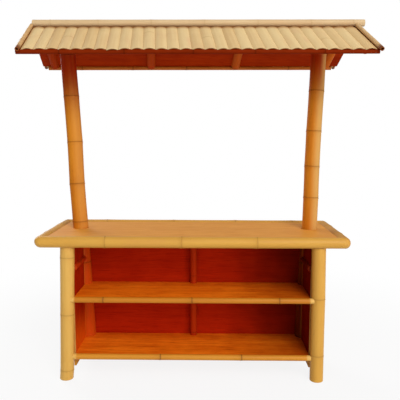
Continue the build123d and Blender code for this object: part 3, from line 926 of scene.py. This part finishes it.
@dataclass(frozen=True)
class BarSizes:
    """Main sizes of the bar in metres, as in the solids."""

    counter_length: float = 1.830
    counter_depth: float = 0.676
    counter_height: float = 0.864
    corner_radius: float = 0.045
    edge_radius: float = 0.034
    leg_x: float = 0.729
    leg_radius: float = 0.040
    post_y: float = 0.030
    post_radius: float = 0.046
    inner_side_x: float = 0.697
    roof_length: float = 1.982
    roof_run: float = 0.377
    pitch: float = math.radians(28)
    rack: float = 0.038
    ridge_top: float = 2.141
    ridge_radius: float = 0.023
    board_thickness: float = 0.006
    board_setback: float = 0.004
    beam_radius: float = 0.030
    seat: float = 0.0003

    @property
    def edge_x(self) -> float:
        """X of the end poles' axes."""
        return self.counter_length / 2 - self.edge_radius

    @property
    def edge_y(self) -> float:
        """Y of the long poles' axes."""
        return self.counter_depth / 2 - self.edge_radius

    @property
    def edge_z(self) -> float:
        """Height of the edge poles' axes."""
        return self.counter_height - self.edge_radius

    @property
    def leg_y(self) -> float:
        """Y of the front legs' axes at the floor."""
        return self.leg_radius - self.counter_depth / 2

    @property
    def slope_length(self) -> float:
        """Length of a slope square to the ridge."""
        return self.roof_run / math.cos(self.pitch)

    @property
    def skew(self) -> float:
        """Angle of the racked tiles to the straight way down."""
        return math.atan(self.rack / self.slope_length)

    @property
    def apex_z(self) -> float:
        """Height where the slopes' upper faces would meet, with the ridge pole on the boards' edges.

        Returns:
            The height.
        """
        reach, setback = self.ridge_radius + self.seat, self.board_setback
        drop = setback * math.sin(self.pitch) - math.sqrt(reach ** 2 - (setback * math.cos(self.pitch)) ** 2)
        return self.ridge_top - self.ridge_radius + drop

    @property
    def beam_z(self) -> float:
        """Height of the ridge beam's axis."""
        return self.apex_z - (self.board_thickness + self.seat + self.beam_radius) / math.cos(self.pitch)

    @property
    def post_top(self) -> float:
        """Height of the posts' tops, which saddle the beam."""
        return self.beam_z - self.beam_radius / 2

    def on_slope(self, face: Face, along: float, down: float, up: float) -> Array:
        """Point of a roof slope.

        Args:
            face: Which slope.
            along: Distance along the ridge.
            down: Distance down the slope from the apex.
            up: Height off the boards.

        Returns:
            The point.
        """
        y = face.value * (down * math.cos(self.pitch) + up * math.sin(self.pitch))
        z = self.apex_z - down * math.sin(self.pitch) + up * math.cos(self.pitch)
        return np.array([along - face.value * self.rack * down / self.slope_length, y, z])

    def down_slope(self, face: Face) -> Array:
        """Direction from ridge to eave along the racked tiles."""
        run = self.on_slope(face, 0, 1, 0) - self.on_slope(face, 0, 0, 0)
        return run / np.linalg.norm(run)

    def off_slope(self, face: Face) -> Array:
        """Direction square off a slope."""
        return np.array([0, face.value * math.sin(self.pitch), math.cos(self.pitch)])


@dataclass(frozen=True)
class Stance:
    """Where an upright culm stands: offset off the leg line and outward lean at each end, and rake."""

    y: float
    offsets: dict[Side, float]
    leans: dict[Side, float]
    rake: float = 0.0

    def axis(self, sizes: BarSizes, side: Side, height: float) -> Array:
        """Point of the culm's axis: out = leg line + offset + lean * (height - counter height).

        Args:
            sizes: The bar's sizes.
            side: Which end.
            height: Height above the floor.

        Returns:
            The point, whose y rakes with the height.
        """
        out = sizes.leg_x + self.offsets[side] + self.leans[side] * (height - sizes.counter_height)
        return np.array([side.value * out, self.y + self.rake * height, height])


def by_side(left: Any, right: Any) -> Any:
    """Dataclass field with a value for each end of the bar."""
    return field(default_factory=lambda: {Side.LEFT: left, Side.RIGHT: right})


def by_face(front: Any, back: Any) -> Any:
    """Dataclass field with a value for the front and one for the back."""
    return field(default_factory=lambda: {Face.FRONT: front, Face.BACK: back})


@dataclass
class Supports:
    """Front legs, coped to the counter's front pole, and the tall leaning posts."""

    sizes: BarSizes
    leg_offsets: dict[Side, float] = by_side(0.0, 0.009)
    leg_leans: dict[Side, float] = by_side(-0.023, -0.002)
    leg_rake: float = 0.034
    leg_nodes: dict[Side, tuple[float, ...]] = by_side((0.066, 0.471, 0.881), (0.186, 0.596))
    leg_bends: dict[Side, tuple[float, ...]] = by_side((0.003, 0.002, 0.0), (0.0, 0.002))
    leg_finishes: dict[Side, BambooFinish] = by_side(LEG_FINISH, EDGE_FINISH)
    cope_zone: float = 0.07
    cope_share: float = 0.8
    post_offsets: dict[Side, float] = by_side(-0.008, 0.004)
    post_leans: dict[Side, float] = by_side(0.046, 0.033)
    post_girth: float = 1.01
    post_nodes: dict[Side, tuple[float, ...]] = by_side(
        (0.06, 0.19, 0.31, 0.44, 0.559, 0.687, 0.825, 0.945),
        (0.08, 0.2, 0.31, 0.41, 0.518, 0.614, 0.721, 0.842, 0.95),
    )
    post_bends: dict[Side, tuple[float, ...]] = by_side(
        (0.0, 0.001, 0.0, -0.001, -0.004, 0.0015, -0.001, -0.004),
        (0.0, -0.001, 0.001, 0.006, 0.003, -0.002, -0.0035, -0.002, -0.003),
    )
    # Stretches along each post: below the counter the inside colour, up under the roof painted shade.
    post_stains: dict[Side, tuple[tuple[float, float], ...]] = by_side(
        ((0.86, 0.82), (1.52, 1.86)), ((0.86, 0.82), (1.6, 1.92))
    )
    around: int = 48

    def legs(self) -> Stance:
        """Stance of the front legs."""
        return Stance(self.sizes.leg_y, self.leg_offsets, self.leg_leans, self.leg_rake)

    def posts(self) -> Stance:
        """Stance of the tall posts."""
        return Stance(self.sizes.post_y, self.post_offsets, self.post_leans)

    def cope(self, across: Array, up: Array) -> Array:
        """Length that each point of a leg's top gains or loses to meet the front pole.

        The top follows the pole's underside, z = pole height - sqrt(pole radius^2 - offset^2), where offset
        is the point's distance in front of or behind the pole's axis. In front of it the top stays low.

        Args:
            across: Points' distances across the leg.
            up: Their distances towards the back.

        Returns:
            The lengths.
        """
        sizes = self.sizes
        offset = up + self.legs().axis(sizes, Side.LEFT, sizes.edge_z)[1] + sizes.edge_y
        round_top = -np.sqrt(np.clip(sizes.edge_radius ** 2 - offset ** 2, 0, None))
        return np.where(offset < 0, np.minimum(round_top, -self.cope_share * sizes.edge_radius), round_top)

    def culm(self, stance: Stance, side: Side, top: float, radius: float, **more: Any) -> Surface:
        """A leaning culm whose foot is trimmed level with the floor.

        Args:
            stance: Where it stands.
            side: Which end of the bar.
            top: Height of its top.
            radius: Its radius.
            more: Other fields of the culm.

        Returns:
            The culm's surface.
        """
        start, end = stance.axis(self.sizes, side, 0), stance.axis(self.sizes, side, top)
        across = np.cross((0, 1, 0), end - start)
        across /= np.linalg.norm(across)
        return Culm(start, end, across, radius, level_foot=True, around=self.around, **more).surface()

    def build(self) -> None:
        """Build and place legs and posts."""
        sizes = self.sizes
        for number, side in enumerate(Side):
            leg = self.culm(
                self.legs(), side, sizes.edge_z, sizes.leg_radius, node_shares=self.leg_nodes[side],
                seed=Seed.LEG + number, taper=-0.025, swell=0.025, bends=self.leg_bends[side],
                end_trim=self.cope, trim_zone=self.cope_zone,
            )
            name = f"{side.word}_front_leg"
            Workshop.put(leg, f"{name}_culm", self.leg_finishes[side], Slot.FRAME, name)
            post = self.culm(
                self.posts(), side, sizes.post_top, sizes.post_radius * self.post_girth,
                node_shares=self.post_nodes[side], seed=Seed.POST + number, taper=0.015, swell=0.035,
                bends=self.post_bends[side], stains=self.post_stains[side],
            )
            name = f"{side.word}_post"
            Workshop.put(post, f"{name}_culm", POST_FINISH, Slot.FRAME, name)


@dataclass
class Counter:
    """Counter: a board framed by four mitred bamboo poles, with two bearers under it."""

    sizes: BarSizes
    long_nodes: dict[Face, tuple[float, ...]] = by_face((0.216, 0.467, 0.713), (0.16, 0.42, 0.66, 0.88))
    end_nodes: tuple[float, ...] = (0.27, 0.71)
    pole_girth: float = 0.97
    ring_girth: float = 1.03
    board_reach: float = 1.1
    bearer_radius: float = 0.015
    bearer_girth: float = 0.96
    bearer_nodes: tuple[float, ...] = (0.3, 0.75)

    def round_corners(self, points: Array) -> Array:
        """Round the counter's corners in plan.

        In the square of one corner radius at each corner, a point at (u, v) from the square's inner corner
        goes to (u, v) * max(u, v) / hypot(u, v), which turns the square's outer sides into a quarter circle.

        Args:
            points: Points of a pole.

        Returns:
            The points, drawn in at the corners.
        """
        sizes = self.sizes
        edge = sizes.edge_radius * self.ring_girth
        inner = np.array([sizes.edge_x, sizes.edge_y]) + edge - sizes.corner_radius
        past = np.abs(points[..., :2]) - inner
        pull = past.max(axis=-1) / np.maximum(np.hypot(past[..., 0], past[..., 1]), 1e-9)
        drawn = np.sign(points[..., :2]) * (inner + past * pull[..., None])
        corner = (past > 0).all(axis=-1, keepdims=True)
        return np.concatenate([np.where(corner, drawn, points[..., :2]), points[..., 2:]], axis=-1)

    def build_pole(self, place: Named, ends: Sequence[Point], outward: Point, **more: Any) -> None:
        """Build one pole of the frame, mitred at both ends.

        Args:
            place: Which pole.
            ends: Its first and its last point.
            outward: Direction away from the board.
            more: Other fields of the culm.
        """
        pole = Culm(
            *ends, outward, self.sizes.edge_radius * self.pole_girth, swell=0.045, around=44,
            start_trim=lambda wide, high: -wide, end_trim=lambda wide, high: wide,
            inner_reach=self.board_reach, warp=self.round_corners, **more,
        )
        name = f"counter_{place.word}"
        Workshop.put(pole.surface(), f"{name}_culm", EDGE_FINISH, Slot.FRAME, f"{name}_pole")

    def build_bearer(self, side: Side, seed: int) -> None:
        """Build the bearer under the overhang at one end.

        Args:
            side: Which end.
            seed: Its random seed.
        """
        name = f"{side.word}_counter_bearer"
        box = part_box(name)
        x, z = ((box[0][k] + box[1][k]) / 2 for k in (0, 2))
        ends = [(x, corner[1], z) for corner in box]
        radius = self.bearer_radius * self.bearer_girth
        bearer = Culm(*ends, (1, 0, 0), radius, self.bearer_nodes, seed, hollow=True, around=24)
        Workshop.put(bearer.surface(), f"{name}_culm", SLAT_FINISH, Slot.FRAME, name)

    def build(self) -> None:
        """Build poles and bearers, and dress the board."""
        edge_x, edge_y, edge_z = self.sizes.edge_x, self.sizes.edge_y, self.sizes.edge_z
        for number, face in enumerate(Face):
            ends = [(x, face.value * edge_y, edge_z) for x in (-edge_x, edge_x)]
            nodes, seed = self.long_nodes[face], Seed.LONG_POLE + number
            self.build_pole(face, ends, (0, face.value, 0), node_shares=nodes, seed=seed, taper=0.03)
        for number, side in enumerate(Side):
            ends = [(side.value * edge_x, y, edge_z) for y in (-edge_y, edge_y)]
            nodes, seed = self.end_nodes, Seed.END_POLE + number
            self.build_pole(side, ends, (side.value, 0, 0), node_shares=nodes, seed=seed, taper=0.0)
            self.build_bearer(side, Seed.BEARER + number)
        Workshop.dress("counter_top_board", COUNTER_FINISH)


@dataclass
class Shelving:
    """Open shelves with bamboo front edges, on cleats between the side walls."""

    sizes: BarSizes
    pole_radius: float = 0.017
    pole_girth: float = 0.98
    pale_tip: tuple[float, float] = (0.028, 0.02)
    upper_nodes: tuple[float, ...] = (0.135, 0.5, 0.858)
    lower_nodes: tuple[float, ...] = (0.37, 0.71)

    def build_pole(self, shelf: Shelf, nodes: Sequence[float]) -> None:
        """Build the pole along a shelf's front edge, with pale tips.

        Args:
            shelf: Which shelf.
            nodes: Places of the pole's nodes as shares of its length.
        """
        name = f"{shelf.word}_shelf_front"
        low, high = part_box(f"{name}_pole")
        ends = [(corner[0], self.sizes.leg_y, (low[2] + high[2]) / 2) for corner in (low, high)]
        far_tip = tuple(high[0] - low[0] - reach for reach in self.pale_tip)
        pole = Culm(
            *ends, (0, 1, 0), self.pole_radius * self.pole_girth, nodes, Seed.SHELF_POLE + shelf.value,
            swell=0.06, taper=0.02, around=36, stains=(self.pale_tip, far_tip),
        )
        Workshop.put(pole.surface(), f"{name}_culm", SHELF_POLE_FINISH, Slot.FRAME, f"{name}_pole")

    def build(self) -> None:
        """Build the front poles and dress boards and cleats."""
        for shelf, nodes in zip(Shelf, (self.upper_nodes, self.lower_nodes)):
            self.build_pole(shelf, nodes)
            for part in ("board", "cleats"):
                Workshop.dress(f"{shelf.word}_shelf_{part}", SHELF_FINISH)


@dataclass
class Walls:
    """Closed sides and back: boards, half-round rails, an upright and split-bamboo slats."""

    sizes: BarSizes
    rail_width: float = 0.035
    rail_rise: float = 0.0172
    rail_nodes: tuple[float, ...] = (0.4,)
    # The right rail gets the painted shadow finish.
    rail_finishes: dict[Side, BambooFinish] = by_side(INNER_FINISH, DIM_FINISH)
    upright_radius: float = 0.0195
    upright_nodes: tuple[float, ...] = (0.13, 0.38, 0.62, 0.88)
    slat_pitch: float = 0.0905
    slat_width: float = 0.0895
    slat_rise: float = 0.0195
    slat_rise_range: tuple[float, float] = (0.86, 0.93)
    first_node_range: tuple[float, float] = (0.08, 0.34)
    node_gap_range: tuple[float, float] = (0.3, 0.4)
    last_node: float = 0.96

    def build(self) -> None:
        """Build rails, upright and slats, and dress the boards."""
        Workshop.dress("back_wall", WALL_FINISH)
        for number, side in enumerate(Side):
            Workshop.dress(f"{side.word}_side_wall", SIDE_FINISH)
            name = f"{side.word}_side_rail"
            low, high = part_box(name)
            start = (side.value * self.sizes.inner_side_x, low[1], (low[2] + high[2]) / 2)
            rail = SplitCulm(
                start, (0, 1, 0), (-side.value, 0, 0), high[1] - low[1], self.rail_width, self.rail_rise,
                self.rail_nodes, Seed.RAIL + number, wall=0, swell=0.03,
            )
            Workshop.put(rail.surface(), f"{name}_culm", self.rail_finishes[side], Slot.WALL, name)
        self.build_upright()
        self.build_slats()

    def build_upright(self) -> None:
        """Build the upright in the middle of the back wall."""
        name = "centre_upright"
        low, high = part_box(name)
        ends = [(0, (low[1] + high[1]) / 2, corner[2]) for corner in (low, high)]
        upright = Culm(
            *ends, (1, 0, 0), self.upright_radius, self.upright_nodes, Seed.UPRIGHT, swell=0.04, taper=0.01
        )
        Workshop.put(upright.surface(), f"{name}_culm", INNER_FINISH, Slot.FRAME, name)

    def build_slats(self) -> None:
        """Build the slats on the customers' side, with nodes at heights of their own."""
        draw = np.random.default_rng(Seed.SLAT_ROW)
        low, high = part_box("back_wall_slats")
        slats = []
        for index in range(round((high[0] - low[0]) / self.slat_pitch)):
            x = low[0] + (index + 0.5) * self.slat_pitch
            first = draw.uniform(*self.first_node_range)
            nodes = first + np.arange(3) * draw.uniform(*self.node_gap_range)
            slat = SplitCulm(
                (x, low[1], low[2]), (0, 0, 1), (0, 1, 0), high[2] - low[2], self.slat_width,
                self.slat_rise * draw.uniform(*self.slat_rise_range), nodes[nodes < self.last_node],
                Seed.SLAT + index, wall=0, swell=0.03,
            )
            slats.append(slat.surface())
        joined = Surface.join(slats)
        Workshop.put(joined, "back_wall_split_slats", SLAT_FINISH, Slot.WALL_SLATS, "back_wall_slats")


@dataclass
class Roof:
    """Gabled roof: boards on rafters, split-bamboo tiles, eave, barge and ridge poles."""

    sizes: BarSizes
    ridge_girth: float = 0.9
    ridge_drop: float = 1.1
    ridge_nodes: tuple[float, ...] = (0.055, 0.2, 0.36, 0.52, 0.68, 0.84, 0.965)
    beam_girth: float = 0.96
    beam_nodes: tuple[float, ...] = (0.1, 0.28, 0.45, 0.62, 0.8, 0.93)
    tile_count: int = 29
    tile_rise: float = 0.0102
    tile_rise_range: tuple[float, float] = (0.9, 1.0)
    tile_start: float = 0.028
    tile_setbacks: dict[Face, float] = by_face(0.014, 0.0)
    tile_gap: float = 0.0006
    most_cut: float = 0.005
    most_late: float = 0.004
    node_range: tuple[float, float] = (0.05, 0.6)
    node_chance: float = 0.25
    proud_tile: int = 7
    proud_length: float = 0.008
    barge_radius: float = 0.012
    barge_girth: float = 0.95
    barge_nodes: tuple[float, ...] = (0.22, 0.68)
    barge_start: float = 0.015
    barge_tail: float = 0.012
    barge_dark_tip: tuple[float, float] = (0.07, 0.01)
    eave_radius: float = 0.012
    eave_girth: float = 1.03
    eave_nodes: tuple[float, ...] = (0.12, 0.3, 0.49, 0.66, 0.85)
    eave_setback: float = 0.018
    eave_lap: dict[Face, float] = by_face(0.016, 0.0)
    # Painted shade on the front eave pole, the lit colour on the back one.
    eave_finishes: dict[Face, BambooFinish] = by_face(EAVE_SHADE_FINISH, BACK_EAVE_FINISH)
    rafter_width: float = 0.055
    rafter_rise: float = 0.95
    rafter_nodes: tuple[float, ...] = (0.45,)
    rafter_inset: float = 0.082
    rafter_shares: tuple[float, ...] = (-0.5, -0.142, 0.17, 0.5)
    rafter_half: float = 0.028
    rafter_gap: float = 0.001

    @property
    def barge_x(self) -> float:
        """X of the barge poles' axes at the ridge."""
        return self.sizes.roof_length / 2 - self.barge_radius - self.sizes.seat

    @property
    def tile_pitch(self) -> float:
        """Spacing of the tiles along the ridge."""
        return 2 * (self.barge_x - self.barge_radius - self.sizes.seat) / self.tile_count

    def build(self) -> None:
        """Build the ridge and both slopes."""
        self.build_ridge()
        for face in Face:
            self.build_tiles(face)
            Workshop.dress(f"{face.word}_roof_boards", ROOF_BOARD_FINISH)
            self.build_eave(face)
            self.build_rafters(face)
            self.build_barges(face)

    def build_ridge(self) -> None:
        """Build the ridge pole and the beam under it."""
        sizes = self.sizes
        top = sizes.ridge_top - sizes.ridge_radius * self.ridge_drop
        ends = [(corner[0], 0, top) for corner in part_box("ridge_pole")]
        ridge = Culm(
            *ends, (0, 1, 0), sizes.ridge_radius * self.ridge_girth, self.ridge_nodes, Seed.RIDGE,
            swell=0.025, taper=0.01, hollow=True,
        )
        Workshop.put(ridge.surface(), "ridge_pole_culm", TRIM_FINISH, Slot.TRIM, "ridge_pole")
        ends = [(corner[0], 0, sizes.beam_z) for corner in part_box("ridge_beam")]
        beam = Culm(
            *ends, (0, 1, 0), sizes.beam_radius * self.beam_girth, self.beam_nodes, Seed.BEAM,
            swell=0.035, taper=0.01, hollow=True,
        )
        Workshop.put(beam.surface(), "ridge_beam_culm", SHADED_FINISH, Slot.SHADED, "ridge_beam")

    def build_tiles(self, face: Face) -> None:
        """Build one slope's tiles, each with its own length, rise and nodes.

        Args:
            face: Which slope.
        """
        sizes, name = self.sizes, face.word
        run, off = sizes.down_slope(face), sizes.off_slope(face)
        draw = np.random.default_rng(Seed.TILE_ROW + face.value)
        skew = math.cos(sizes.skew)
        whole = (sizes.slope_length - self.tile_start - self.tile_setbacks[face]) / skew
        width = self.tile_pitch * skew - self.tile_gap
        tiles = []
        for index in range(self.tile_count):
            x = (index - (self.tile_count - 1) / 2) * self.tile_pitch
            cut, late = draw.uniform(0, self.most_cut), draw.uniform(0, self.most_late)
            rise = self.tile_rise * draw.uniform(*self.tile_rise_range)
            proud = face is Face.FRONT and index == self.proud_tile
            node, chance = draw.uniform(*self.node_range), draw.uniform()
            nodes = [node] if chance < self.node_chance else []
            start = sizes.on_slope(face, x, self.tile_start + late, 0.0)
            length = whole - late + (self.proud_length if proud else -cut)
            seed = Seed.TILE + 40 * face.value + index
            tiles.append(SplitCulm(start, run, off, length, width, rise, nodes, seed, swell=0.02).surface())
        joined = Surface.join(tiles)
        Workshop.put(joined, f"{name}_split_tiles", TILE_FINISH, Slot.ROOF, f"{name}_roof_tiles")

    def build_eave(self, face: Face) -> None:
        """Build the pole under one slope's lower edge.

        Args:
            face: Which slope.
        """
        sizes, name = self.sizes, f"{face.word}_eave"
        down = sizes.slope_length - self.eave_setback
        _, y, z = sizes.on_slope(face, 0, down, -self.eave_radius - sizes.seat)
        left, right = (corner[0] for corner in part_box(f"{name}_pole"))
        eave = Culm(
            (left - self.eave_lap[face], y, z), (right, y, z), (0, 1, 0), self.eave_radius * self.eave_girth,
            self.eave_nodes, Seed.EAVE + face.value, swell=0.05, taper=0.08, hollow=True, around=24,
        )
        Workshop.put(eave.surface(), f"{name}_culm", self.eave_finishes[face], Slot.SHADED, f"{name}_pole")

    def build_rafters(self, face: Face) -> None:
        """Build the rafters of one slope, between the ridge beam and the eave pole.

        Args:
            face: Which slope.
        """
        sizes, name = self.sizes, face.word
        run, off = sizes.down_slope(face), sizes.off_slope(face)
        span = sizes.roof_length - 2 * self.rafter_inset
        slant = self.rafter_half * math.tan(sizes.skew)
        beam_edge = (sizes.board_thickness + sizes.beam_radius) * math.tan(sizes.pitch) + sizes.beam_radius
        top = beam_edge + slant + self.rafter_gap
        foot = sizes.slope_length - self.eave_setback - self.eave_radius - slant - self.rafter_gap
        rafters = []
        for index, share in enumerate(self.rafter_shares):
            start = sizes.on_slope(face, share * span, top, -sizes.board_thickness)
            rafter = SplitCulm(
                start, run, -off, (foot - top) / math.cos(sizes.skew), self.rafter_width,
                self.rafter_width / 2 * self.rafter_rise, self.rafter_nodes,
                Seed.RAFTER + 10 * face.value + index, wall=0, swell=0.03,
            )
            rafters.append(rafter.surface())
        joined = Surface.join(rafters)
        Workshop.put(joined, f"{name}_rafter_culms", SHADED_FINISH, Slot.SHADED, f"{name}_rafters")

    def build_barges(self, face: Face) -> None:
        """Build the poles along one slope's two gable edges.

        Args:
            face: Which slope.
        """
        sizes = self.sizes
        run, off = sizes.down_slope(face), sizes.off_slope(face)
        length = (sizes.slope_length + self.barge_tail - self.barge_start) / math.cos(sizes.skew)
        # The second colour darkens the last stretch towards the lower tip.
        stain = tuple(length - reach for reach in self.barge_dark_tip)
        for side in Side:
            x, up = side.value * self.barge_x, self.barge_radius + sizes.seat
            start = sizes.on_slope(face, x, self.barge_start, up)
            barge = Culm(
                start, start + length * run, np.cross(off, run), self.barge_radius * self.barge_girth,
                self.barge_nodes, Seed.BARGE + 10 * face.value + side.value, swell=0.05, taper=-0.01,
                hollow=True, around=32, stains=(stain,),
            )
            name = f"{face.word}_{side.word}_barge"
            Workshop.put(barge.surface(), f"{name}_culm", BARGE_FINISH, Slot.TRIM, f"{name}_pole")


@dataclass(frozen=True)
class Lamp:
    """A soft square lamp: where it stands, the point it faces, its width in metres and its watts."""

    name: str
    place: Point
    aim: Point
    size: float
    power: float

    def add(self) -> None:
        """Put the lamp into the scene."""
        data = bpy.data.lights.new(self.name, "AREA")
        data.size, data.energy = self.size, self.power
        lamp = bpy.data.objects.new(self.name, data)
        lamp.location = self.place
        lamp.rotation_euler = (Vector(self.aim) - Vector(self.place)).to_track_quat("-Z", "Y").to_euler()
        bpy.context.collection.objects.link(lamp)


@dataclass
class Studio:
    """Pale floor, soft light and the camera at the photograph's viewing angle."""

    lamps: tuple[Lamp, ...] = (
        Lamp("key", place=(3.6, -9.4, 8.2), aim=(0, 0, 1.0), size=6.0, power=920),
        Lamp("fill", place=(7.6, -6.6, 1.6), aim=(0, 0, 0.8), size=3.5, power=230),
        Lamp("back", place=(-6.5, 7.5, 5.2), aim=(0, 0, 1.0), size=5.0, power=480),
    )
    eye: tuple[float, float, float] = (0.088, -3.274, 1.441)
    pitch: float = 0.122
    yaw: float = -0.014
    roll: float = 0.002
    focal_px: float = 524.3
    picture_px: float = 400
    sensor: float = 36
    view_limit: float = 100
    floor_edge: float = 30.0
    floor_glow: float = 0.86
    floor_fade: tuple[float, float] = (1.0, 3.0)
    sky_strength: float = 0.42

    def camera(self) -> None:
        """Set the camera from its place and three turns."""
        level = math.cos(self.pitch)
        ahead = Vector((math.sin(self.yaw) * level, math.cos(self.yaw) * level, -math.sin(self.pitch)))
        right = Vector((math.cos(self.yaw), -math.sin(self.yaw), 0))
        up = right.cross(ahead)
        turned = right * math.cos(self.roll) + up * math.sin(self.roll)
        upright = up * math.cos(self.roll) - right * math.sin(self.roll)
        data = bpy.data.cameras.new("photo_camera")
        data.lens = self.focal_px / self.picture_px * self.sensor
        data.sensor_width, data.clip_end = self.sensor, self.view_limit
        camera = bpy.data.objects.new("photo_camera", data)
        bpy.context.collection.objects.link(camera)
        turns = Matrix((turned, upright, -ahead)).transposed().to_4x4()
        camera.matrix_world = Matrix.Translation(self.eye) @ turns
        bpy.context.scene.camera = camera

    def floor(self) -> None:
        """Lay a wide pale floor that keeps the bar's shadow and shows white to the camera."""
        edge = self.floor_edge
        corners = [(-edge, -edge, 0), (edge, -edge, 0), (edge, edge, 0), (-edge, edge, 0)]
        mesh = bpy.data.meshes.new("studio_floor")
        mesh.from_pydata(corners, [], [(0, 1, 2, 3)])
        tree = Tree(bpy.data.materials.new("studio_floor"))
        path = tree.add("ShaderNodeLightPath").outputs
        rays = ("Is Camera Ray", "Is Glossy Ray", "Is Transmission Ray")
        camera, glossy, through = (Num(tree, path[ray]) for ray in rays)
        seen = camera + glossy + through
        distance = tree.number("ShaderNodeVectorMath", {"operation": "LENGTH"}, {0: tree.place()}, "Value")
        share = seen * (self.floor_glow + distance.step(*self.floor_fade) * (1 - self.floor_glow))
        plain = tree.add("ShaderNodeBsdfDiffuse", {}, {"Color": FLOOR_GREY})
        glow = tree.add("ShaderNodeEmission", {}, {"Color": WHITE, "Strength": 1.0})
        both = tree.add("ShaderNodeMixShader", {}, {0: share, 1: plain.outputs[0], 2: glow.outputs[0]})
        tree.add("ShaderNodeOutputMaterial", {}, {"Surface": both.outputs[0]})
        mesh.materials.append(tree.owner)
        floor = bpy.data.objects.new("studio_floor", mesh)
        bpy.context.collection.objects.link(floor)

    def world(self) -> None:
        """Even soft light all round, white where the camera sees it."""
        tree = Tree(bpy.data.worlds.new("studio"))
        seen = tree.add("ShaderNodeLightPath").outputs["Is Camera Ray"]
        soft, white = (
            tree.add("ShaderNodeBackground", {}, {"Color": WHITE, "Strength": strength}).outputs[0]
            for strength in (self.sky_strength, 1.0)
        )
        both = tree.add("ShaderNodeMixShader", {}, {0: seen, 1: soft, 2: white})
        tree.add("ShaderNodeOutputWorld", {}, {"Surface": both.outputs[0]})
        bpy.context.scene.world = tree.owner

    def build(self) -> None:
        """Set camera, lights, floor and view."""
        bpy.context.scene.view_settings.view_transform = "Standard"
        self.camera()
        self.floor()
        self.world()
        for lamp in self.lamps:
            lamp.add()


def main() -> None:
    """Build the bar in order, then the studio."""
    logging.basicConfig(level=logging.INFO, format="%(name)s: %(message)s")
    sizes = BarSizes()
    for assembly in (Supports(sizes), Counter(sizes), Shelving(sizes), Walls(sizes), Roof(sizes)):
        assembly.build()
        LOG.info("%s done", type(assembly).__name__)
    Studio().build()


if __name__ == "__main__":
    main()
